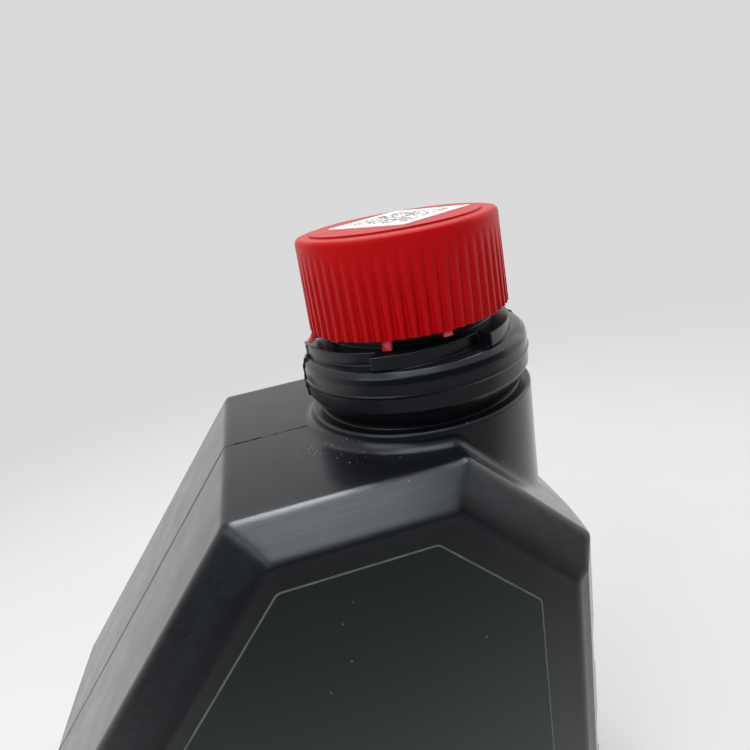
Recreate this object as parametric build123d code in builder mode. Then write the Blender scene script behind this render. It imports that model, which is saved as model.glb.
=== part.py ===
# Motor oil bottle of one litre with a screw cap, standing upright on its base
# Sizes in millimetres; X runs along the bottle's width, the front faces -Y, Z is up from the base
import os
from math import cos, hypot, radians, sin, tan
from build123d import *

# Body of the bottle
body_width = 128.6
body_depth = 73.4
body_height = 149.0
wall = 1.2
bevel_depth = 6.2
side_bulge = 6.0
left_bulge = 2.5
left_slope = 49.4
right_slope = 46.4
shoulder_left = 43.9
shoulder_right = 0.8
soft_width = 2.3
soft_depth = 0.95
edge_round = 1.5

# How far the front frame reaches in from each outer edge
frame_top = 5.6
frame_right = 7.6
frame_left = 8.1
frame_side = 6.2
frame_base = 5.0

# Finger grooves on the narrow right side
groove_count = 3
groove_pitch = 26.0
groove_drop = 51.0
groove_width = 8.0
groove_slant = 2.5
groove_depth = 0.6

# Hollow under the base
foot_rim = 9.0
foot_hollow = 1.5
foot_round = 8.0

# Boss and collar, heights counted up from the shoulder
boss_radius = 24.0
boss_ledge = 3.6
boss_wall = 2.2
boss_break = 0.4
foot_share = 0.37
foot_land = 0.6
throat_step = 2.4
throat_gap = 0.4
collar_step = 0.1
collar_low = 7.4
collar_ridge = 10.6
collar_top = 15.3
collar_round = 2.4
ridge_rise = 0.25
ridge_width = 0.6

# Neck under the cap
neck_radius = 17.5
neck_wall = 1.9

# Ratchet teeth left bare by the torn-off ring
tooth_root = 2.0
tooth_rise = 3.2
tooth_height = 2.6
tooth_count = 3
tooth_span = 60.0
tooth_start = 174.5

# Cap, its liner and its sticker
cap_wall = 1.9
cap_height = 18.8
cap_draft = 0.5
cap_top = 1.7
cap_round = 1.0
disc_inset = 2.0
disc_rise = 0.35
thread_room = 1.5
flute_count = 58
flute_depth = 0.5
flute_radius = 1.05
flute_sides = 6
flute_tip = 1.2
flute_clear = 0.3
liner_thick = 1.2
liner_gap = 0.4
sticker_share = 1.2
sticker_thick = 0.15
sticker_round = 1.0
sticker_turn = 33.0
sticker_x = 1.2
sticker_y = 0.6

# Stubs of the torn bridges, evenly spaced, with the share of the gap that each still fills
bridge_gap = 2.4
bridge_clear = 0.35
stub_shares = [1.0, 0.6, 0.2, 0.4, 0.7, 0.25, 0.5, 0.35, 0.7, 0.9, 0.25]
stub_start = -118.0
stub_width = 1.7
stub_thick = 1.0
stub_sink = 0.6

# Label film on the front panel, with its gap to each edge of the panel
label_thick = 0.15
label_top = 5.4
label_right = 6.9
label_left = 3.7
label_side = 8.2
label_base = 6.0
label_round = 1.5

# Values that follow from the sizes above
half_width = body_width / 2
half_depth = body_depth / 2
core_depth = half_depth - bevel_depth
side_edge = half_width - side_bulge
side_radius = (core_depth**2 + side_bulge**2) / (2 * side_bulge)
side_centre = half_width - side_radius
neck_x = half_width - boss_ledge - boss_radius
bore_radius = neck_radius - neck_wall
throat_radius = boss_radius - throat_step
boss_foot = foot_share * (core_depth - boss_radius)
boss_height = boss_foot + foot_land
throat_height = boss_height + throat_gap
boss_hollow = boss_radius - boss_wall
collar_edge = collar_top - collar_round
collar_radius = boss_radius - collar_step
boss_root = (boss_radius + shoulder_right) * tan(radians(right_slope)) + 2 * wall / cos(radians(right_slope))
tooth_foot = body_height + collar_top
tooth_low = neck_radius + tooth_root
tooth_high = tooth_low + tooth_rise
cap_foot = tooth_foot + tooth_height + bridge_gap
cap_crown = cap_foot + cap_height
cap_under = cap_crown - cap_top
rim = cap_under - liner_thick
cap_inside = neck_radius + thread_room
cap_radius = cap_inside + cap_wall
crown_radius = cap_radius - cap_draft
disc_radius = crown_radius - cap_round - disc_inset
flute_length = cap_height - disc_rise - cap_round - flute_tip - flute_clear
sticker_side = disc_radius * sticker_share
stub_radius = cap_inside + (cap_wall - flute_depth) / 2
neck_plane = Plane((neck_x, 0, 0), x_dir=(1, 0, 0), z_dir=(0, -1, 0))
neck_axis = Axis((neck_x, 0, 0), (0, 0, 1))


# Corners of the outline seen from the front, each edge moved in by its own amount
def outline(top, right, left, low, sides_right, sides_left):
    height = body_height - top
    far_right = half_width - sides_right
    far_left = half_width - sides_left
    rise_left = tan(radians(left_slope))
    rise_right = tan(radians(right_slope))
    start_left = neck_x - shoulder_left + left / sin(radians(left_slope)) - top / rise_left
    start_right = neck_x - shoulder_right - right / sin(radians(right_slope)) + top / rise_right
    return [
        (start_left, height),
        (start_right, height),
        (far_right, height - (far_right - start_right) * rise_right),
        (far_right, low),
        (-far_left, low),
        (-far_left, height - (start_left + far_left) * rise_left),
    ]


# Faceted block of the body, moved in all round by a wall's thickness
def block(inset):
    deep = core_depth - inset
    face = half_depth - inset
    soft = face - soft_depth
    right = side_edge - inset
    left = half_width - left_bulge - inset
    corners = outline(inset, inset, inset, inset, inset, inset)
    frames = [
        (corners[0], corners[1], frame_top),
        (corners[1], corners[2], frame_right),
        (corners[5], corners[0], frame_left),
        (corners[3], corners[4], frame_base),
    ]
    with BuildPart() as shape:
        with BuildSketch(Plane.XZ.offset(-face)):
            Polygon(*corners, align=None)
        extrude(amount=2 * face)
        with BuildSketch():
            with BuildLine():
                Polyline(
                    (-left, -deep),
                    (frame_side - left - soft_width, -soft),
                    (frame_side - left, -face),
                    (right - frame_side, -face),
                    (right - frame_side + soft_width, -soft),
                    (right, -deep),
                )
                ThreePointArc((right, -deep), (right + side_bulge, 0), (right, deep))
                Polyline(
                    (right, deep),
                    (right - frame_side + soft_width, soft),
                    (right - frame_side, face),
                    (frame_side - left, face),
                    (frame_side - left - soft_width, soft),
                    (-left, deep),
                )
                ThreePointArc((-left, deep), (-left - left_bulge, 0), (-left, -deep))
            make_face()
        extrude(amount=body_height, mode=Mode.INTERSECT)
        for (x, z), (x_end, z_end), frame in frames:
            length = hypot(x_end - x, z_end - z)
            out_x = (z - z_end) / length
            out_z = (x_end - x) / length
            turn = frame - soft_width
            for low, high, start, end in ((deep, soft, 0, turn), (soft, face, turn, frame)):
                rise = high - low
                for side in (1, -1):
                    origin = (x - out_x * start, side * low, z - out_z * start)
                    normal = (out_x * rise, side * (end - start), out_z * rise)
                    split(bisect_by=Plane(origin, z_dir=normal), keep=Keep.BOTTOM)
    return shape


# Space inside the bottle, from the raised middle of its floor to the mouth
with BuildPart() as hollow:
    add(block(wall).part)
    with BuildSketch():
        RectangleRounded(
            2 * (side_edge - foot_rim + wall), 2 * (core_depth - foot_rim + wall), foot_round + wall
        )
    extrude(amount=wall + foot_hollow, mode=Mode.SUBTRACT)
    with BuildSketch(neck_plane):
        with BuildLine():
            Polyline(
                (0, body_height - boss_root),
                (boss_hollow, body_height - boss_root),
                (boss_hollow, body_height - 2 * wall),
                (bore_radius, body_height + collar_low),
                (bore_radius, rim + wall),
                (0, rim + wall),
                close=True,
            )
        make_face()
    revolve(axis=neck_axis)

# Bottle with its boss, collar, ratchet teeth, finger grooves and neck, moulded in one piece
with BuildPart() as bottle:
    add(block(0).part)
    outer_edges = [
        edge
        for edge in bottle.edges()
        if max(abs(edge.position_at(0).Y), abs(edge.position_at(1).Y)) < core_depth + 0.01
    ]
    fillet(outer_edges, edge_round)
    with Locations((neck_x, 0, body_height + boss_height)):
        Cylinder(boss_radius, boss_root + boss_height, align=(Align.CENTER, Align.CENTER, Align.MAX))
    round_edges = [
        edge
        for edge in bottle.edges()
        if abs(hypot(edge.position_at(0.5).X - neck_x, edge.position_at(0.5).Y) - boss_radius) < 0.01
    ]
    fillet([edge for edge in round_edges if edge.position_at(0.5).Z < body_height + foot_land], boss_foot)
    boss_rim = [
        edge
        for edge in bottle.edges()
        if abs(edge.position_at(0.5).Z - body_height - boss_height) < 0.01
        and abs(hypot(edge.position_at(0.5).X - neck_x, edge.position_at(0.5).Y) - boss_radius) < 0.01
    ]
    chamfer(boss_rim, boss_break)
    with BuildSketch(neck_plane):
        with BuildLine():
            low = body_height + collar_low
            ridge = body_height + collar_ridge
            top = body_height + collar_top
            Polyline(
                (0, body_height),
                (throat_radius, body_height),
                (throat_radius, body_height + throat_height),
                (collar_radius, low),
                (collar_radius, ridge - ridge_width / 2),
                (collar_radius + ridge_rise, ridge),
                (collar_radius, ridge + ridge_width / 2),
                (collar_radius, body_height + collar_edge),
            )
            Polyline(
                *[
                    (
                        collar_radius - collar_round * (1 - cos(radians(turn))),
                        top - collar_round * (1 - sin(radians(turn))),
                    )
                    for turn in (0, 30, 60, 90)
                ]
            )
            Polyline(
                (collar_radius - collar_round, top),
                (neck_radius, top),
                (neck_radius, rim),
                (0, rim),
                (0, body_height),
            )
        make_face()
    revolve(axis=neck_axis)
    with BuildSketch(Plane((neck_x, 0, tooth_foot))):
        Circle(tooth_low)
        with PolarLocations(0, tooth_count, start_angle=tooth_start, angular_range=tooth_count * tooth_span):
            with BuildSketch(mode=Mode.PRIVATE) as tooth:
                with BuildLine():
                    half = radians(tooth_span / 2)
                    end = radians(tooth_span)
                    middle = (tooth_low + tooth_high) / 2
                    slope = (middle * cos(half), middle * sin(half))
                    heel = (tooth_low * cos(end), tooth_low * sin(end))
                    Line((0, 0), (tooth_high, 0))
                    ThreePointArc((tooth_high, 0), slope, heel)
                    Line(heel, (0, 0))
                make_face()
            add(tooth.sketch)
    extrude(amount=tooth_height)
    with BuildSketch(Plane.XZ):
        for count in range(groove_count):
            middle = body_height - groove_drop - count * groove_pitch
            open_half = groove_width / 2 + groove_slant
            Polygon(
                (half_width - groove_depth, middle - groove_width / 2),
                (half_width + groove_depth, middle - open_half - groove_slant),
                (half_width + groove_depth, middle + open_half + groove_slant),
                (half_width - groove_depth, middle + groove_width / 2),
                align=None,
            )
    revolve(axis=Axis((side_centre, 0, 0), (0, 0, 1)), mode=Mode.SUBTRACT)
    with BuildSketch():
        RectangleRounded(2 * (side_edge - foot_rim), 2 * (core_depth - foot_rim), foot_round)
    extrude(amount=foot_hollow, mode=Mode.SUBTRACT)
    add(hollow.part, mode=Mode.SUBTRACT)

# Space of one flute, a wide V in section that slopes out at its top
with BuildPart() as flute:
    with BuildSketch(Plane.XY.offset(-cap_height)):
        RegularPolygon(flute_radius, flute_sides)
    extrude(amount=2 * cap_height)
    split(
        bisect_by=Plane((-flute_radius, 0, flute_length), z_dir=(-flute_tip, 0, flute_depth)),
        keep=Keep.BOTTOM,
    )

# Fluted screw cap with a raised disc on top and the stubs of its torn bridges
with BuildPart() as cap:
    with BuildSketch(neck_plane):
        with BuildLine():
            crown = cap_crown - disc_rise
            Polyline(
                (0, cap_under),
                (cap_inside, cap_under),
                (cap_inside, cap_foot),
                (cap_radius, cap_foot),
                (crown_radius, crown - cap_round),
            )
            Polyline(
                *[
                    (
                        crown_radius - cap_round * (1 - cos(radians(turn))),
                        crown - cap_round * (1 - sin(radians(turn))),
                    )
                    for turn in (0, 30, 60, 90)
                ]
            )
            Polyline(
                (crown_radius - cap_round, crown),
                (disc_radius, crown),
                (disc_radius, cap_crown),
                (0, cap_crown),
                (0, cap_under),
            )
        make_face()
    revolve(axis=neck_axis)
    with Locations((neck_x, 0, cap_foot)):
        with PolarLocations(cap_radius - flute_depth + flute_radius, flute_count):
            add(flute.part, mode=Mode.SUBTRACT)
    for number, share in enumerate(stub_shares):
        angle = radians(stub_start + number * 360 / len(stub_shares))
        place = (neck_x + stub_radius * cos(angle), stub_radius * sin(angle), cap_foot + stub_sink)
        with BuildSketch(Plane(place, x_dir=(cos(angle), sin(angle), 0), z_dir=(0, 0, -1))):
            Rectangle(stub_thick, stub_width)
        extrude(amount=stub_sink + share * (bridge_gap - bridge_clear))

# Sealing liner pressed between the cap and the rim of the neck
with BuildPart() as cap_liner:
    with Locations((neck_x, 0, rim)):
        Cylinder(cap_inside - liner_gap, liner_thick, align=(Align.CENTER, Align.CENTER, Align.MIN))

# Square sticker on the cap's raised disc
with BuildPart() as cap_sticker:
    with BuildSketch(Plane((neck_x + sticker_x, sticker_y, cap_crown))):
        RectangleRounded(sticker_side, sticker_side, sticker_round, rotation=sticker_turn)
    extrude(amount=sticker_thick)

# Label film on the front panel
with BuildPart() as front_label:
    with BuildSketch(Plane.XZ.offset(half_depth)) as film:
        Polygon(
            *outline(
                frame_top + label_top,
                frame_right + label_right,
                frame_left + label_left,
                frame_base + label_base,
                side_bulge + frame_side + label_side,
                left_bulge + frame_side + label_left,
            ),
            align=None,
        )
        fillet(film.vertices(), label_round)
    extrude(amount=label_thick)

os.makedirs("parts", exist_ok=True)
bottle.part.label = "bottle"
export_step(bottle.part, "parts/bottle.step")
cap.part.label = "cap"
export_step(cap.part, "parts/cap.step")
cap_liner.part.label = "cap_liner"
export_step(cap_liner.part, "parts/cap_liner.step")
cap_sticker.part.label = "cap_sticker"
export_step(cap_sticker.part, "parts/cap_sticker.step")
front_label.part.label = "front_label"
export_step(front_label.part, "parts/front_label.step")
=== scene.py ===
from math import cos, pi, radians, sin

import bmesh
import bpy
from mathutils import Matrix, Vector, noise
from mathutils.bvhtree import BVHTree


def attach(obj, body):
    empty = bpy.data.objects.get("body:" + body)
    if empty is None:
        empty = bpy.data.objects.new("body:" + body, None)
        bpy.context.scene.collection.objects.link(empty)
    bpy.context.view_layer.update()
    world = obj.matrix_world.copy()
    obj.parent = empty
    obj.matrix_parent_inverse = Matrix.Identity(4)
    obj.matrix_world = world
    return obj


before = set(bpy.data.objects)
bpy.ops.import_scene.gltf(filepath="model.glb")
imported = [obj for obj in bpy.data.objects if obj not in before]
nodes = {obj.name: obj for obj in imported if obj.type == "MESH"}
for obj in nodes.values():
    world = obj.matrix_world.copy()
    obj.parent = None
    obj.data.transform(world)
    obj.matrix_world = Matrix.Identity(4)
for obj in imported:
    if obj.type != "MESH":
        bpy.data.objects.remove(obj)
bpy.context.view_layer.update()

mm = 0.001
noiseLow, noiseHigh = 0.3, 0.7  # most of a noise texture's values lie between these
print("frame loaded:", ", ".join(sorted(nodes)))


def linear(hexText):  # sRGB hex to the linear colour that the shaders want
    parts = [int(hexText[i:i + 2], 16) / 255 for i in (1, 3, 5)]
    return (*[c / 12.92 if c <= 0.04045 else ((c + 0.055) / 1.055) ** 2.4 for c in parts], 1)


def setNode(tree, node, settings, links):  # a link given as a node comes from its first output
    for name, value in settings.items():
        if isinstance(name, int) or name in node.inputs:
            node.inputs[name].default_value = value
        else:
            setattr(node, name, value)
    for name, source in links.items():
        socket = source.outputs[0] if isinstance(source, bpy.types.Node) else source
        tree.links.new(socket, node.inputs[name])
    return node


# Sockets go by name or number: a mix of colours takes its colours at 6 and 7 and gives one at 2
def addNode(tree, kind, settings={}, links={}):
    return setNode(tree, tree.nodes.new("ShaderNode" + kind), settings, links)


def newMaterial(name):
    material = bpy.data.materials.new(name)
    material.use_nodes = True
    return material, material.node_tree, material.node_tree.nodes["Principled BSDF"]


def newPiece(name, corners, faces, material, body):
    mesh = bpy.data.meshes.new(name)
    mesh.from_pydata(corners, [], faces)
    mesh.materials.append(material)
    piece = bpy.data.objects.new(name, mesh)
    bpy.context.scene.collection.objects.link(piece)
    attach(piece, body)
    return piece


def coat(nodeName, material):
    mesh = nodes[nodeName].data
    mesh.materials.clear()
    mesh.materials.append(material)


def unevenRough(tree, cloud, look):  # roughness that follows a noise between the look's two ends
    least, most = look["rough"]
    return addNode(
        tree, "MapRange",
        {"From Min": noiseLow, "From Max": noiseHigh, "To Min": least, "To Max": most},
        {"Value": cloud},
    )


def loneLint(tree, place, look):  # single pale specks, far apart
    lint = addNode(tree, "TexVoronoi", {"Scale": 1 / look["lint"]}, {"Vector": place})
    rim, core = look["lintSize"]
    return addNode(
        tree, "MapRange", {"From Min": rim, "From Max": core, "To Max": look["lintShow"]},
        {"Value": lint.outputs["Distance"]},
    )


# Blow-moulded HDPE, black: a satin skin, faintly wavy from the mould, with a grain and some dust
hdpe = {
    "colour": "#0a0c0f", "bloom": "#101317", "bloomSize": 9 * mm, "tint": "#f0f8ff",
    "ior": 1.54, "gloss": 0.3, "rough": (0.2, 0.26),
    "grain": 0.5 * mm,  # real grain is about 0.1 mm, drawn coarser so that it shows
    "grainStrength": 0.12, "grainDepth": 0.04 * mm,
    "wave": 14 * mm, "waveStrength": 0.25, "waveDepth": 0.25 * mm,
    # Dust: where it lies and how far it spreads, with specks and lint sized in shares of a cell
    "dust": "#8f8c86", "dustShare": 0.8, "dustCore": 0.2,
    "dustSpots": (
        ((11 * mm, -12 * mm, 149 * mm), 8 * mm),
        ((17 * mm, -19 * mm, 149 * mm), 5 * mm),
        ((45 * mm, -23 * mm, 140 * mm), 6 * mm),
    ),
    "speck": 1.0 * mm, "speckSize": (0.17, 0.07),
    "lint": 6 * mm, "lintSize": (0.035, 0.015), "lintShow": 0.4,
    # Edges are soft on the body, and crisper on the neck above these heights
    "edge": (2.4 * mm, 0.5 * mm), "edgeTurn": (149.3 * mm, 150.6 * mm),
    # Frame: how far from the mid-plane it begins, and the upward lean that tells top from sides
    "frame": (30 * mm, 31 * mm), "frameTop": (0.9, 0.98),
    # A face there turns once it looks forward by this share (sides, top), and keeps so much of it
    "turnFrom": (0.72, 0.53), "turnFull": 0.92, "turnKeep": (0.45, 0.26),
    # Drag lines: length and width, the tilt from which they show, and the tone rubbed into them
    "drag": (30 * mm, 1.1 * mm), "dragStrength": 0.5, "dragDepth": 0.08 * mm,
    "dragTilt": (0.3, 0.7), "rub": "#2c3033", "rubSpread": (0.4, 0.7),
}


def dustOnHdpe(tree, place):  # gathers beside the boss, and a few lone specks lie anywhere
    near = None
    for centre, size in hdpe["dustSpots"]:
        reach = addNode(tree, "VectorMath", {"operation": "DISTANCE", 1: centre}, {0: place})
        spot = addNode(
            tree, "MapRange", {"From Min": size, "From Max": hdpe["dustCore"] * size},
            {"Value": reach.outputs["Value"]},
        )
        if near:
            spot = addNode(tree, "Math", {"operation": "MAXIMUM"}, {0: near, 1: spot})
        near = spot
    specks = addNode(tree, "TexVoronoi", {"Scale": 1 / hdpe["speck"]}, {"Vector": place})
    rim, core = hdpe["speckSize"]
    dot = addNode(
        tree, "MapRange", {"From Min": rim, "From Max": core},
        {"Value": specks.outputs["Distance"]},
    )
    chance = addNode(tree, "SeparateColor", {}, {0: specks.outputs["Color"]})
    share = addNode(tree, "Math", {"operation": "MULTIPLY", 1: hdpe["dustShare"]}, {0: near})
    some = addNode(tree, "Math", {"operation": "LESS_THAN"}, {0: chance, 1: share})
    grit = addNode(tree, "Math", {"operation": "MULTIPLY"}, {0: dot, 1: some})
    lone = loneLint(tree, place, hdpe)
    return addNode(tree, "Math", {"operation": "MAXIMUM"}, {0: grit, 1: lone})


# The band below the frame's bevel is turned up towards it, so that both read as one broad slope
def turnFrame(tree, facing, depth):
    frontness = addNode(tree, "Math", {"operation": "ABSOLUTE"}, {0: facing.outputs["Y"]})
    flat = addNode(
        tree, "CombineXYZ", {}, {"X": facing.outputs["X"], "Z": facing.outputs["Z"]}
    )
    unit = addNode(tree, "VectorMath", {"operation": "NORMALIZE"}, {0: flat})
    side = addNode(tree, "SeparateXYZ", {}, {0: unit})
    low, high = hdpe["frameTop"]
    keep, start = [
        addNode(
            tree, "MapRange",
            {"From Min": low, "From Max": high, "To Min": onSides, "To Max": onTop},
            {"Value": side.outputs["Z"]},
        )
        for onSides, onTop in (hdpe["turnKeep"], hdpe["turnFrom"])
    ]
    onFrame = addNode(
        tree, "MapRange",
        {"From Min": hdpe["frame"][0], "From Max": hdpe["frame"][1], "To Min": 1},
        {"Value": depth, "To Max": keep},
    )
    hold = addNode(
        tree, "MapRange", {"From Max": hdpe["turnFull"], "To Min": 1},
        {"Value": frontness, "From Min": start, "To Max": onFrame},
    )
    less = addNode(tree, "Math", {"operation": "MULTIPLY"}, {0: facing.outputs["Y"], 1: hold})
    lean = addNode(
        tree, "CombineXYZ", {},
        {"X": facing.outputs["X"], "Y": less, "Z": facing.outputs["Z"]},
    )
    return addNode(tree, "VectorMath", {"operation": "NORMALIZE"}, {0: lean})


# Faint lines that the mould dragged along the frame's upper slope, and their strength there
def dragLines(tree, place, facing, depth):
    along, across = 1 / hdpe["drag"][0], 1 / hdpe["drag"][1]
    drawn = addNode(
        tree, "VectorMath", {"operation": "MULTIPLY", 1: (along, across, across)}, {0: place}
    )
    lines = addNode(tree, "TexNoise", {"Scale": 1, "Detail": 3}, {"Vector": drawn})
    begin, whole = hdpe["frame"]
    outer = addNode(
        tree, "MapRange",
        {"From Min": begin, "From Max": whole, "To Max": hdpe["dragStrength"]},
        {"Value": depth},
    )
    level, steep = hdpe["dragTilt"]
    above = addNode(
        tree, "MapRange", {"From Min": level, "From Max": steep}, {"Value": facing.outputs["Z"]}
    )
    return lines, addNode(tree, "Math", {"operation": "MULTIPLY"}, {0: outer, 1: above})


def makeHdpe():
    material, tree, shader = newMaterial("blowMouldedHdpe")
    place = addNode(tree, "TexCoord").outputs["Object"]
    where = addNode(tree, "SeparateXYZ", {}, {0: place})
    depth = addNode(tree, "Math", {"operation": "ABSOLUTE"}, {0: where.outputs["Y"]})
    bloom = addNode(
        tree, "TexNoise", {"Scale": 1 / hdpe["bloomSize"], "Detail": 4}, {"Vector": place}
    )
    tone = addNode(
        tree, "Mix",
        {"data_type": "RGBA", 6: linear(hdpe["colour"]), 7: linear(hdpe["bloom"])},
        {0: bloom},
    )
    dusty = addNode(
        tree, "Mix", {"data_type": "RGBA", 7: linear(hdpe["dust"])},
        {0: dustOnHdpe(tree, place), 6: tone.outputs[2]},
    )
    # The surface in order: soft edges, the turned frame, mould waves, drag lines, then grain
    edge = addNode(
        tree, "MapRange",
        {
            "From Min": hdpe["edgeTurn"][0], "From Max": hdpe["edgeTurn"][1],
            "To Min": hdpe["edge"][0], "To Max": hdpe["edge"][1],
        },
        {"Value": where.outputs["Z"]},
    )
    soft = addNode(tree, "Bevel", {"samples": 8}, {"Radius": edge})
    facing = addNode(tree, "SeparateXYZ", {}, {0: soft})
    wave = addNode(tree, "TexNoise", {"Scale": 1 / hdpe["wave"], "Detail": 1}, {"Vector": place})
    wavy = addNode(
        tree, "Bump", {"Strength": hdpe["waveStrength"], "Distance": hdpe["waveDepth"]},
        {"Height": wave, "Normal": turnFrame(tree, facing, depth)},
    )
    lines, deep = dragLines(tree, place, facing, depth)
    dragged = addNode(
        tree, "Bump", {"Distance": hdpe["dragDepth"]},
        {"Strength": deep, "Height": lines, "Normal": wavy},
    )
    grain = addNode(
        tree, "TexNoise", {"Scale": 1 / hdpe["grain"], "Detail": 2}, {"Vector": place}
    )
    grainy = addNode(
        tree, "Bump", {"Strength": hdpe["grainStrength"], "Distance": hdpe["grainDepth"]},
        {"Height": grain, "Normal": dragged},
    )
    least, most = hdpe["rubSpread"]
    pale = addNode(tree, "MapRange", {"From Min": least, "From Max": most}, {"Value": lines})
    worn = addNode(tree, "Math", {"operation": "MULTIPLY"}, {0: pale, 1: deep})
    rubbed = addNode(
        tree, "Mix", {"data_type": "RGBA", 7: linear(hdpe["rub"])},
        {0: worn, 6: dusty.outputs[2]},
    )
    setNode(
        tree, shader,
        {
            "IOR": hdpe["ior"], "Specular IOR Level": hdpe["gloss"],
            "Specular Tint": linear(hdpe["tint"]),
        },
        {
            "Base Color": rubbed.outputs[2], "Roughness": unevenRough(tree, bloom, hdpe),
            "Normal": grainy,
        },
    )
    return material


# Injection-moulded PP, red: an even satin skin, paler and streaky where the bridges were torn
redPp = {
    "colour": "#be0108", "deep": "#b00006", "cloud": 7 * mm,
    "ior": 1.49, "gloss": 0.12, "rough": (0.4, 0.46), "edge": 0.25 * mm,
    "grain": 0.45 * mm,  # real grain is about 0.1 mm, drawn coarser so that it shows
    "grainStrength": 0.15, "grainDepth": 0.04 * mm,
    # Torn plastic whitens below the cap's foot, in flecks
    "torn": "#d4606a", "foot": 169.3 * mm, "tear": 0.9 * mm,
    "fleck": 0.9 * mm, "fleckSpread": (0.35, 0.65), "fleckLeast": 0.25,
    # Flutes: the swell of the lands between them fades out below the crown
    "axis": 36.7 * mm, "flutes": 58, "swell": 0.22 * mm, "fluteTop": (185.5 * mm, 180 * mm),
}


def tornShare(tree, place, height):
    tear = addNode(
        tree, "MapRange", {"From Min": redPp["foot"], "From Max": redPp["foot"] - redPp["tear"]},
        {"Value": height},
    )
    fleck = addNode(
        tree, "TexNoise", {"Scale": 1 / redPp["fleck"], "Detail": 2}, {"Vector": place}
    )
    low, high = redPp["fleckSpread"]
    white = addNode(
        tree, "MapRange", {"From Min": low, "From Max": high, "To Min": redPp["fleckLeast"]},
        {"Value": fleck},
    )
    return addNode(tree, "Math", {"operation": "MULTIPLY"}, {0: tear, 1: white})


# Lands between the flutes swell a little, so that light rolls over each of them
def fluteDips(tree, place, height):
    around = addNode(
        tree, "VectorMath", {"operation": "SUBTRACT", 1: (redPp["axis"], 0, 0)}, {0: place}
    )
    sides = addNode(tree, "SeparateXYZ", {}, {0: around})
    angle = addNode(
        tree, "Math", {"operation": "ARCTAN2"}, {0: sides.outputs["Y"], 1: sides.outputs["X"]}
    )
    turns = addNode(tree, "Math", {"operation": "MULTIPLY", 1: redPp["flutes"]}, {0: angle})
    dips = addNode(tree, "Math", {"operation": "COSINE"}, {0: turns})
    none, whole = redPp["fluteTop"]
    fading = addNode(tree, "MapRange", {"From Min": none, "From Max": whole}, {"Value": height})
    return addNode(tree, "Math", {"operation": "MULTIPLY"}, {0: dips, 1: fading})


def makeRedPp():
    material, tree, shader = newMaterial("injectionMouldedPp")
    place = addNode(tree, "TexCoord").outputs["Object"]
    height = addNode(tree, "SeparateXYZ", {}, {0: place}).outputs["Z"]
    cloud = addNode(
        tree, "TexNoise", {"Scale": 1 / redPp["cloud"], "Detail": 3}, {"Vector": place}
    )
    tone = addNode(
        tree, "Mix",
        {"data_type": "RGBA", 6: linear(redPp["deep"]), 7: linear(redPp["colour"])},
        {0: cloud},
    )
    torn = addNode(
        tree, "Mix", {"data_type": "RGBA", 7: linear(redPp["torn"])},
        {0: tornShare(tree, place, height), 6: tone.outputs[2]},
    )
    soft = addNode(tree, "Bevel", {"samples": 6, "Radius": redPp["edge"]})
    fluted = addNode(
        tree, "Bump", {"invert": True, "Strength": 1, "Distance": redPp["swell"]},
        {"Height": fluteDips(tree, place, height), "Normal": soft},
    )
    grain = addNode(
        tree, "TexNoise", {"Scale": 1 / redPp["grain"], "Detail": 2}, {"Vector": place}
    )
    grainy = addNode(
        tree, "Bump", {"Strength": redPp["grainStrength"], "Distance": redPp["grainDepth"]},
        {"Height": grain, "Normal": fluted},
    )
    setNode(
        tree, shader, {"IOR": redPp["ior"], "Specular IOR Level": redPp["gloss"]},
        {
            "Base Color": torn.outputs[2], "Roughness": unevenRough(tree, cloud, redPp),
            "Normal": grainy,
        },
    )
    return material


# Foamed PE wad: chalky white with fine open cells, their hollows painted darker as painted shade
foam = {
    "colour": "#e2e1dc", "shade": "#cfcdc6", "ior": 1.5, "rough": 0.75,
    "cell": 0.6 * mm, "pitStrength": 0.4, "pitDepth": 0.1 * mm,
}


def makeFoam():
    material, tree, shader = newMaterial("foamedPe")
    place = addNode(tree, "TexCoord").outputs["Object"]
    cell = addNode(tree, "TexVoronoi", {"Scale": 1 / foam["cell"]}, {"Vector": place})
    # Painted shade: the cell hollows, where the pits sink, take the darker tone
    tone = addNode(
        tree, "Mix",
        {"data_type": "RGBA", 6: linear(foam["shade"]), 7: linear(foam["colour"])},
        {0: cell.outputs["Distance"]},
    )
    pits = addNode(
        tree, "Bump", {"Strength": foam["pitStrength"], "Distance": foam["pitDepth"]},
        {"Height": cell.outputs["Distance"]},
    )
    setNode(
        tree, shader, {"Roughness": foam["rough"], "IOR": foam["ior"]},
        {"Base Color": tone.outputs[2], "Normal": pits},
    )
    return material


# Coated paper sticker, printed: smooth white with a block of plain random cells in black ink
sticker = {
    "paper": "#f6f4f3", "shade": "#efedec", "ink": "#202022", "ior": 1.5, "rough": 0.42,
    "centre": (37.9 * mm, 0.6 * mm), "turn": 33,
    "cell": 0.6 * mm, "block": 7.8 * mm, "filled": 0.52,  # cells, half the block, share of ink
    "fibre": 1.5 * mm,  # real fibres are about 0.03 mm, drawn as a coarser cloud so that they show
    "pulpStrength": 0.1, "pulpDepth": 0.03 * mm,
}


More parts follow.
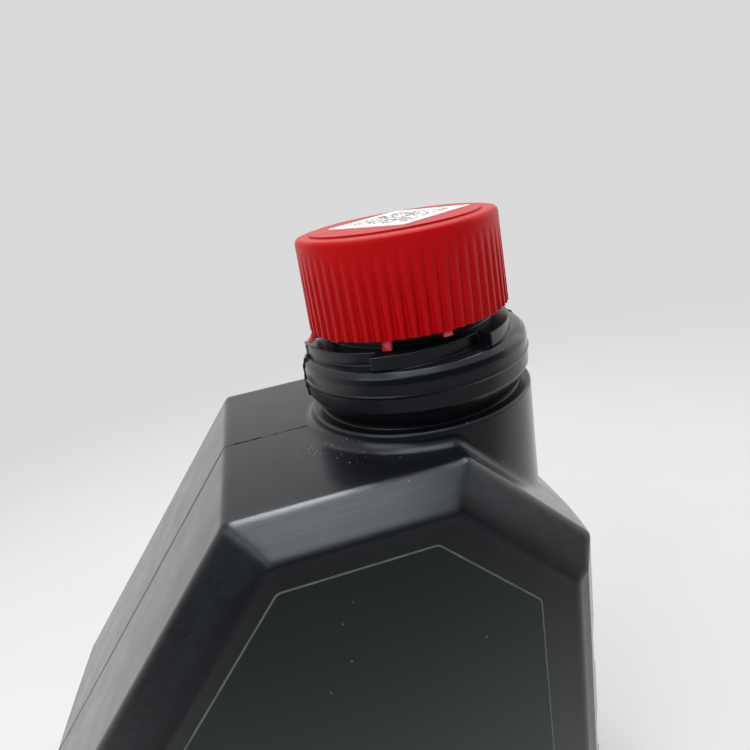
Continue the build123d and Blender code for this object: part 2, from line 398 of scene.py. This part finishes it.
def inkCells(tree, place):
    square = addNode(
        tree, "Mapping",
        {
            "vector_type": "TEXTURE", "Location": (*sticker["centre"], 0),
            "Rotation": (0, 0, radians(sticker["turn"])),
        },
        {"Vector": place},
    )
    perCell = 1 / sticker["cell"]
    cells = addNode(
        tree, "VectorMath", {"operation": "MULTIPLY", 1: (perCell, perCell, 0)}, {0: square}
    )
    whole = addNode(tree, "VectorMath", {"operation": "FLOOR"}, {0: cells})
    chance = addNode(tree, "TexWhiteNoise", {"noise_dimensions": "2D"}, {"Vector": whole})
    filled = addNode(
        tree, "Math", {"operation": "LESS_THAN", 1: sticker["filled"]},
        {0: chance.outputs["Value"]},
    )
    spread = addNode(tree, "VectorMath", {"operation": "ABSOLUTE"}, {0: square})
    sides = addNode(tree, "SeparateXYZ", {}, {0: spread})
    widest = addNode(
        tree, "Math", {"operation": "MAXIMUM"}, {0: sides.outputs["X"], 1: sides.outputs["Y"]}
    )
    within = addNode(tree, "Math", {"operation": "LESS_THAN", 1: sticker["block"]}, {0: widest})
    return addNode(tree, "Math", {"operation": "MULTIPLY"}, {0: filled, 1: within})


def makeSticker():
    material, tree, shader = newMaterial("printedCoatedPaper")
    place = addNode(tree, "TexCoord").outputs["Object"]
    fibre = addNode(
        tree, "TexNoise", {"Scale": 1 / sticker["fibre"], "Detail": 3}, {"Vector": place}
    )
    paper = addNode(
        tree, "Mix",
        {"data_type": "RGBA", 6: linear(sticker["shade"]), 7: linear(sticker["paper"])},
        {0: fibre},
    )
    tone = addNode(
        tree, "Mix", {"data_type": "RGBA", 7: linear(sticker["ink"])},
        {0: inkCells(tree, place), 6: paper.outputs[2]},
    )
    pulp = addNode(
        tree, "Bump", {"Strength": sticker["pulpStrength"], "Distance": sticker["pulpDepth"]},
        {"Height": fibre},
    )
    setNode(
        tree, shader, {"Roughness": sticker["rough"], "IOR": sticker["ior"]},
        {"Base Color": tone.outputs[2], "Normal": pulp},
    )
    return material


# Printed PP film, nearly black with a green cast: smoother than the bottle, with hairline scuffs
film = {
    "colour": "#0b0e0d", "cast": "#101413", "cloud": 18 * mm, "tint": "#e4f6f8",
    "ior": 1.49, "gloss": 0.33, "rough": (0.3, 0.36),
    "scuff": "#3a3f3e", "scuffLength": 9 * mm, "scuffTurn": 28, "scuffSpread": (0.72, 0.8),
    "scuffWidth": 0.5 * mm,  # real scuffs are about 0.05 mm, drawn wider so that they show
    "lintColour": "#8f908e", "lint": 5 * mm, "lintSize": (0.05, 0.02), "lintShow": 0.6,
}


def makeFilm():
    material, tree, shader = newMaterial("printedPpFilm")
    place = addNode(tree, "TexCoord").outputs["Object"]
    cloud = addNode(
        tree, "TexNoise", {"Scale": 1 / film["cloud"], "Detail": 3}, {"Vector": place}
    )
    tone = addNode(
        tree, "Mix",
        {"data_type": "RGBA", 6: linear(film["colour"]), 7: linear(film["cast"])},
        {0: cloud},
    )
    drawn = addNode(
        tree, "Mapping",
        {
            "Rotation": (0, radians(film["scuffTurn"]), 0),
            "Scale": (1 / film["scuffLength"], 1, 1 / film["scuffWidth"]),
        },
        {"Vector": place},
    )
    streak = addNode(tree, "TexNoise", {"Scale": 1, "Detail": 2}, {"Vector": drawn})
    none, whole = film["scuffSpread"]
    hairline = addNode(tree, "MapRange", {"From Min": none, "From Max": whole}, {"Value": streak})
    scuffed = addNode(
        tree, "Mix", {"data_type": "RGBA", 7: linear(film["scuff"])},
        {0: hairline, 6: tone.outputs[2]},
    )
    specked = addNode(
        tree, "Mix", {"data_type": "RGBA", 7: linear(film["lintColour"])},
        {0: loneLint(tree, place, film), 6: scuffed.outputs[2]},
    )
    setNode(
        tree, shader,
        {
            "IOR": film["ior"], "Specular IOR Level": film["gloss"],
            "Specular Tint": linear(film["tint"]),
        },
        {"Base Color": specked.outputs[2], "Roughness": unevenRough(tree, cloud, film)},
    )
    return material


# Screen ink, light grey: a matt line that breaks up a little along its length
greyInk = {"colour": "#666e6b", "worn": "#3a413f", "ior": 1.5, "rough": 0.55, "patch": 3 * mm}


def makeGreyInk():
    material, tree, shader = newMaterial("screenPrintedInk")
    place = addNode(tree, "TexCoord").outputs["Object"]
    patch = addNode(
        tree, "TexNoise", {"Scale": 1 / greyInk["patch"], "Detail": 2}, {"Vector": place}
    )
    tone = addNode(
        tree, "Mix",
        {"data_type": "RGBA", 6: linear(greyInk["worn"]), 7: linear(greyInk["colour"])},
        {0: patch},
    )
    setNode(
        tree, shader, {"Roughness": greyInk["rough"], "IOR": greyInk["ior"]},
        {"Base Color": tone.outputs[2]},
    )
    return material


bottleSkin = makeHdpe()
filmSkin = makeFilm()
inkSkin = makeGreyInk()
capSkin = makeRedPp()
coat("bottle", bottleSkin)
coat("cap", capSkin)
coat("cap_liner", makeFoam())
coat("cap_sticker", makeSticker())
coat("front_label", filmSkin)
print("materials on the CAD nodes")


def surfaceOf(mesh):  # for rays that look for the skin
    return BVHTree.FromPolygons(
        [vertex.co for vertex in mesh.vertices], [face.vertices for face in mesh.polygons]
    )


def ridgeFaces(count):  # both flanks of a ridge whose corners come in threes
    faces = []
    for row in range(0, count - 3, 3):
        faces += [(row, row + 1, row + 4, row + 3), (row + 1, row + 2, row + 5, row + 4)]
    return faces


def barFaces(count):  # four sides and both ends of a bar whose corners come in fours
    faces = [(0, 1, 2, 3), tuple(range(count - 1, count - 5, -1))]
    for ring in range(0, count - 4, 4):
        for edge in range(4):
            after = (edge + 1) % 4
            faces.append((ring + after, ring + edge, ring + 4 + edge, ring + 4 + after))
    return faces


bottleSurface = surfaceOf(nodes["bottle"].data)


# Parting seam: a low ridge on the mid-plane, down both flanks from the boss to the foot
seam = {
    "width": 0.35 * mm, "rise": 0.09 * mm, "sink": 0.03 * mm, "edge": 0.05 * mm,
    "centre": (0, 0, 75 * mm), "reach": 0.3, "rays": 420, "foot": 9 * mm,
    "boss": (12.2 * mm, 64 * mm), "bossLow": 110 * mm,  # none between these, above this height
    # On the shoulder it is higher and ragged, with a steep front
    "top": 148.5 * mm, "ridge": 0.17 * mm, "wall": 0.05 * mm,
    "rag": 1.0 * mm, "ragMean": 0.6, "ragSwing": 0.9, "ragSeed": 2.2,
}


def makeSeamSkin():  # the same HDPE with sharp edges, as a thin ridge needs
    material = bottleSkin.copy()
    material.name = "blowMouldedHdpeSeam"
    tree = material.node_tree
    soft = next(node for node in tree.nodes if node.bl_idname == "ShaderNodeBevel")
    tree.links.remove(soft.inputs["Radius"].links[0])
    soft.inputs["Radius"].default_value = seam["edge"]
    return material


seamSkin = makeSeamSkin()


def makeSeam(name, side):
    centre = Vector(seam["centre"])
    half = Vector((0, seam["width"] / 2, 0))
    bossLeft, bossRight = seam["boss"]
    corners = []
    for step in range(seam["rays"] + 1):
        angle = pi * step / seam["rays"]
        out = Vector((side * sin(angle), 0, cos(angle)))
        spot, normal, _, _ = bottleSurface.ray_cast(centre + seam["reach"] * out, -out)
        onBoss = bossLeft < spot.x < bossRight and spot.z > seam["bossLow"]
        if onBoss or spot.z < seam["foot"]:
            continue
        crest = normal * seam["rise"]
        if spot.z > seam["top"]:
            where = Vector((spot.x / seam["rag"], seam["ragSeed"], side))
            rag = seam["ragMean"] + seam["ragSwing"] * noise.noise(where)
            steep = Vector((0, seam["wall"] - seam["width"] / 2, 0))
            crest = normal * seam["ridge"] * rag + steep
        under = normal * seam["sink"]
        corners += [spot - half - under, spot + crest, spot + half - under]
    newPiece(name, corners, ridgeFaces(len(corners)), seamSkin, "bottle")


makeSeam("seam_left", -1)
makeSeam("seam_right", 1)


# Flash: a ragged fin of skin where the mould halves met on the neck, wider over the collar
flash = {
    "axis": 36.7 * mm, "outside": 40 * mm, "low": 155.2 * mm, "high": 166.8 * mm, "stations": 110,
    "thick": 0.3 * mm, "sink": 0.15 * mm,
    "rise": {-1: (0.12 * mm, 0.6 * mm), 1: (0.06 * mm, 0.3 * mm)},  # least and most, left and right
    "rag": 0.8 * mm, "ragSeed": (3.7, 1.3), "lean": 0.12 * mm, "leanSeed": 5.1,
    "web": 7, "webFill": 0.6,  # stations to each side that a web spans, and how full it is
    "fade": 6,  # stations over which each end dies out
}


def makeFlash(name, side):
    last = flash["stations"]
    step = (flash["high"] - flash["low"]) / last
    heights = [flash["low"] + step * i for i in range(last + 1)]
    inward = Vector((-side, 0, 0))
    starts = [Vector((flash["axis"] + side * flash["outside"], 0, height)) for height in heights]
    radii = [abs(bottleSurface.ray_cast(start, inward)[0].x - flash["axis"]) for start in starts]
    least, most = flash["rise"][side]
    seedX, seedY = flash["ragSeed"]
    corners = []
    for i, height in enumerate(heights):
        along = height / flash["rag"]
        rag = 0.5 + 0.5 * noise.noise(Vector((seedX * side, seedY, along)))
        lean = flash["lean"] * noise.noise(Vector((along, flash["leanSeed"], side)))
        around = radii[max(0, i - flash["web"]):i + flash["web"] + 1]
        web = flash["webFill"] * (max(around) - radii[i])
        fade = min(1, i / flash["fade"], (last - i) / flash["fade"])
        tip = radii[i] + fade * (web + least + (most - least) * rag)
        root = radii[i] - flash["sink"]
        section = ((root, -flash["thick"] / 2), (tip, lean), (root, flash["thick"] / 2))
        for radius, shift in section:
            corners.append((flash["axis"] + side * radius, shift, height))
    newPiece(name, corners, ridgeFaces(len(corners)), bottleSkin, "bottle")


makeFlash("flash_left", -1)
makeFlash("flash_right", 1)


# Curled stub of one torn bridge, bent outwards under the cap's left edge
curl = {
    "axis": 36.7 * mm, "turn": 183.5,
    "path": (  # radius, height, thickness and width, in millimetres
        (20.2, 169.7, 1.0, 1.7), (20.45, 169.0, 1.0, 1.7), (20.8, 168.4, 0.95, 1.6),
        (21.25, 167.95, 0.85, 1.5), (21.7, 167.75, 0.7, 1.35), (21.95, 167.7, 0.5, 1.1),
    ),
}


def makeCurl():
    out = Vector((cos(radians(curl["turn"])), sin(radians(curl["turn"])), 0))
    across = Vector((-out.y, out.x, 0))
    path = [Vector((radius, height)) for radius, height, _, _ in curl["path"]]
    corners = []
    for i, (radius, height, thick, width) in enumerate(curl["path"]):
        along = (path[min(i + 1, len(path) - 1)] - path[max(i - 1, 0)]).normalized()
        centre = Vector((curl["axis"], 0, height * mm)) + out * radius * mm
        face = (out * -along.y + Vector((0, 0, 1)) * along.x) * thick * mm / 2
        reach = across * width * mm / 2
        corners += [centre + face + reach, centre + face - reach]
        corners += [centre - face - reach, centre - face + reach]
    newPiece("bridge_curl", corners, barFaces(len(corners)), capSkin, "cap")


makeCurl()


# Neck thread: one rounded ridge that winds up the neck under the cap
thread = {
    "axis": 36.7 * mm, "root": 17.4 * mm, "crest": 18.6 * mm, "foot": 1.2 * mm, "tip": 0.5 * mm,
    "low": 170.8 * mm, "pitch": 4.2 * mm, "turns": 2.6, "steps": 64,
    "lead": 0.2, "least": 0.05,  # turns over which each end grows, and its height at the start
}


def makeThread():
    corners = []
    for step in range(int(thread["turns"] * thread["steps"]) + 1):
        turn = step / thread["steps"]
        angle = 2 * pi * turn
        grown = min(1, turn / thread["lead"], (thread["turns"] - turn) / thread["lead"])
        rise = (thread["crest"] - thread["root"]) * max(grown, thread["least"])
        crest = thread["root"] + rise
        height = thread["low"] + thread["pitch"] * turn
        section = (
            (thread["root"], -thread["foot"]), (crest, -thread["tip"]),
            (crest, thread["tip"]), (thread["root"], thread["foot"]),
        )
        for radius, lift in section:
            x = thread["axis"] + radius * cos(angle)
            corners.append((x, radius * sin(angle), height + lift))
    faces = barFaces(len(corners))
    piece = newPiece("neck_thread", corners, faces, bottleSkin, "bottle")
    piece.data.polygons.foreach_set("use_smooth", [True] * len(faces))


makeThread()


# Label outline: the film's thin grey edge, which slopes down to the bottle all round
outline = {
    "width": 0.3 * mm, "proud": 0.01 * mm, "drop": 0.14 * mm,
    "flat": 0.01 * mm, "weld": 0.001 * mm,  # limits that pick out the film's front face
    "leastSlant": 0.5,  # keeps the mitre short at a sharp corner
}


def labelRim():  # the corners round the film's front face, in order
    shape = bmesh.new()
    shape.from_mesh(nodes["front_label"].data)
    front = min(v.co.y for v in shape.verts)
    behind = [v for v in shape.verts if v.co.y > front + outline["flat"]]
    bmesh.ops.delete(shape, geom=behind, context="VERTS")
    bmesh.ops.remove_doubles(shape, verts=shape.verts, dist=outline["weld"])
    edges = [e for e in shape.edges if len(e.link_faces) == 1]
    beside = {}
    for edge in edges:
        beside.setdefault(edge.verts[0], []).append(edge.verts[1])
        beside.setdefault(edge.verts[1], []).append(edge.verts[0])
    loop = [edges[0].verts[0]]
    while len(loop) < len(edges):
        loop.append(next(v for v in beside[loop[-1]] if v not in loop[-2:]))
    rim = [v.co.copy() for v in loop]
    shape.free()
    return rim


def makeOutline():
    rim = labelRim()
    middle = sum(rim, Vector()) / len(rim)
    lift = Vector((0, -outline["proud"], 0))
    fall = Vector((0, outline["drop"], 0))
    corners = []
    for i, spot in enumerate(rim):
        before = (spot - rim[i - 1]).normalized()
        ahead = (rim[(i + 1) % len(rim)] - spot).normalized()
        inward = Vector((-(before + ahead).z, 0, (before + ahead).x)).normalized()
        if inward.dot(middle - spot) < 0:
            inward.negate()
        slant = max(outline["leastSlant"], abs(inward.dot(Vector((-ahead.z, 0, ahead.x)))))
        corners += [spot - inward * outline["width"] / slant + fall, spot + lift]
    count = len(corners)
    faces = [(i, (i + 2) % count, (i + 3) % count, i + 1) for i in range(0, count, 2)]
    newPiece("label_outline", corners, faces, inkSkin, "bottle")


makeOutline()
print("seam, flash, curl, thread and label outline made")


# Floor: matt paper sweep, pale grey with a faint mottle, which runs out into the pale of the room
floor = {
    "colour": "#e9e9e8", "mottle": "#e3e3e2", "size": 6.0, "patch": 60 * mm, "rough": 0.8,
    "fade": (0.25, 0.7), "sheenFade": (0.02, 0.14),  # distances over which it runs out
    "near": (-0.09, -0.2), "dim": 0.6,  # where the sheen finds it dimmer in front, and by how much
}
room = {
    "white": "#ffffff", "seen": "#dadada", "ambient": 0.5,
    "front": 0.03, "back": 1.0, "turn": (-0.6, 0.5), "ceiling": 0.95,  # what the sheen finds
}


def makeFloorPaper():
    material, tree, shader = newMaterial("mattPaperSweep")
    place = addNode(tree, "TexCoord").outputs["Object"]
    patch = addNode(
        tree, "TexNoise", {"Scale": 1 / floor["patch"], "Detail": 3}, {"Vector": place}
    )
    tone = addNode(
        tree, "Mix",
        {"data_type": "RGBA", 6: linear(floor["mottle"]), 7: linear(floor["colour"])},
        {0: patch},
    )
    setNode(tree, shader, {"Roughness": floor["rough"]}, {"Base Color": tone.outputs[2]})
    reach = addNode(tree, "VectorMath", {"operation": "LENGTH"}, {0: place}).outputs["Value"]
    # To the eye it runs out into the room, and the sheen finds the bright walls sooner
    far, off = [
        addNode(
            tree, "MapRange",
            {"interpolation_type": "SMOOTHSTEP", "From Min": begin, "From Max": end},
            {"Value": reach},
        )
        for begin, end in (floor["fade"], floor["sheenFade"])
    ]
    path = addNode(tree, "LightPath")
    glossy = path.outputs["Is Glossy Ray"]
    clear = addNode(
        tree, "Math", {"operation": "MAXIMUM"},
        {0: path.outputs["Is Camera Ray"], 1: path.outputs["Is Transmission Ray"]},
    )
    share = addNode(tree, "Math", {"operation": "MULTIPLY"}, {0: far, 1: clear})
    pale = addNode(tree, "Emission", {"Color": linear(room["seen"]), "Strength": 1})
    mixed = addNode(tree, "MixShader", {}, {0: share, 1: shader, 2: pale})
    gleam = addNode(tree, "Math", {"operation": "MULTIPLY"}, {0: off, 1: glossy})
    wall = addNode(tree, "Emission", {"Color": linear(room["white"]), "Strength": room["back"]})
    sheen = addNode(tree, "MixShader", {}, {0: gleam, 1: mixed, 2: wall})
    # The room is dim in front, so the sheen of the part finds less light on the floor there
    depth = addNode(tree, "SeparateXYZ", {}, {0: place})
    begin, end = floor["near"]
    front = addNode(
        tree, "MapRange", {"From Min": begin, "From Max": end, "To Max": floor["dim"]},
        {"Value": depth.outputs["Y"]},
    )
    less = addNode(tree, "Math", {"operation": "MULTIPLY"}, {0: front, 1: glossy})
    shade = addNode(tree, "Emission", {"Color": linear(room["white"]), "Strength": room["front"]})
    whole = addNode(tree, "MixShader", {}, {0: less, 1: sheen, 2: shade})
    setNode(tree, tree.nodes["Material Output"], {}, {"Surface": whole})
    return material


def makeFloor():
    half = floor["size"] / 2
    mesh = bpy.data.meshes.new("floor")
    corners = [(-half, -half, 0), (half, -half, 0), (half, half, 0), (-half, half, 0)]
    mesh.from_pydata(corners, [], [(0, 1, 2, 3)])
    mesh.materials.append(makeFloorPaper())
    sheet = bpy.data.objects.new("floor", mesh)
    bpy.context.scene.collection.objects.link(sheet)


makeFloor()


# Room: even and pale to the eye and to matt surfaces, but the sheen finds it dim in front
def makeRoom():
    world = bpy.data.worlds.new("room")
    bpy.context.scene.world = world
    world.use_nodes = True
    tree = world.node_tree
    tree.nodes.clear()
    path = addNode(tree, "LightPath")
    around = addNode(tree, "TexCoord").outputs["Generated"]
    toward = addNode(tree, "SeparateXYZ", {}, {0: around})
    lifted = addNode(
        tree, "Math", {"operation": "MULTIPLY_ADD", 1: room["ceiling"]},
        {0: toward.outputs["Z"], 2: toward.outputs["Y"]},
    )
    depth = addNode(
        tree, "MapRange",
        {
            "interpolation_type": "SMOOTHSTEP",
            "From Min": room["turn"][0], "From Max": room["turn"][1],
            "To Min": room["front"], "To Max": room["back"],
        },
        {"Value": lifted},
    )
    white = linear(room["white"])
    walls = addNode(tree, "Background", {"Color": white}, {"Strength": depth})
    light = addNode(tree, "Background", {"Color": white, "Strength": room["ambient"]})
    seen = addNode(tree, "Background", {"Color": linear(room["seen"]), "Strength": 1})
    lit = addNode(
        tree, "MixShader", {}, {0: path.outputs["Is Glossy Ray"], 1: light, 2: walls}
    )
    clear = addNode(
        tree, "Math", {"operation": "MAXIMUM"},
        {0: path.outputs["Is Camera Ray"], 1: path.outputs["Is Transmission Ray"]},
    )
    mixed = addNode(tree, "MixShader", {}, {0: clear, 1: lit, 2: seen})
    addNode(tree, "OutputWorld", {}, {"Surface": mixed})


makeRoom()


# Lamps: soft panels overhead and a weaker one on each side, aimed at the neck or the body
neck, body = (0.01, -0.02, 0.14), (0.0, 0.0, 0.1)
lamps = {
    "ceilingPanel": {"place": (0.0, -0.08, 0.85), "aim": neck, "size": (0.36, 0.36), "power": 1.8},
    "backPanel": {"place": (-0.05, 0.16, 0.8), "aim": neck, "size": (0.19, 0.19), "power": 1.2},
    # This strip is only for the shine along the upper edges, so it lights no matt surface
    "edgeStrip": {
        "place": (0.14, 0.3, 0.8), "aim": neck, "size": (0.6, 0.18), "power": 10.0,
        "shineOnly": True,
    },
    "leftPanel": {"place": (-0.45, -0.3, 0.6), "aim": body, "size": (0.5, 0.5), "power": 1.6},
    "rightPanel": {"place": (0.75, 0.1, 0.4), "aim": body, "size": (0.6, 0.6), "power": 1.0},
}


def makeLamp(name, lamp):
    data = bpy.data.lights.new(name, "AREA")
    data.shape = "RECTANGLE"
    data.size, data.size_y = lamp["size"]
    data.energy = lamp["power"]
    panel = bpy.data.objects.new(name, data)
    panel.location = lamp["place"]
    toward = Vector(lamp["aim"]) - Vector(lamp["place"])
    panel.rotation_euler = toward.to_track_quat("-Z", "Y").to_euler()
    panel.visible_camera = False
    panel.visible_diffuse = not lamp.get("shineOnly", False)
    bpy.context.scene.collection.objects.link(panel)


for name, lamp in lamps.items():
    makeLamp(name, lamp)
print("floor and lights made")


# Camera: close above the front of the neck, tipped down and a little rolled, as in the photograph
view = {
    "place": (7.48 * mm, -112.67 * mm, 199.07 * mm),
    "lens": 27.0, "sensor": 36.0, "near": 5 * mm,
    "right": (0.95829, -0.23175, -0.16726), "down": (-0.23505, -0.30615, -0.92251),
}


def makeCamera():
    data = bpy.data.cameras.new("photoView")
    data.lens = view["lens"]
    data.sensor_width = view["sensor"]
    data.clip_start = view["near"]
    camera = bpy.data.objects.new("photoView", data)
    right, down = Vector(view["right"]), Vector(view["down"])
    ahead = right.cross(down)
    turned = Matrix((right, -down, -ahead)).transposed().to_4x4()
    camera.matrix_world = Matrix.Translation(view["place"]) @ turned
    bpy.context.scene.collection.objects.link(camera)
    bpy.context.scene.camera = camera


makeCamera()
bpy.context.scene.view_settings.view_transform = "Standard"
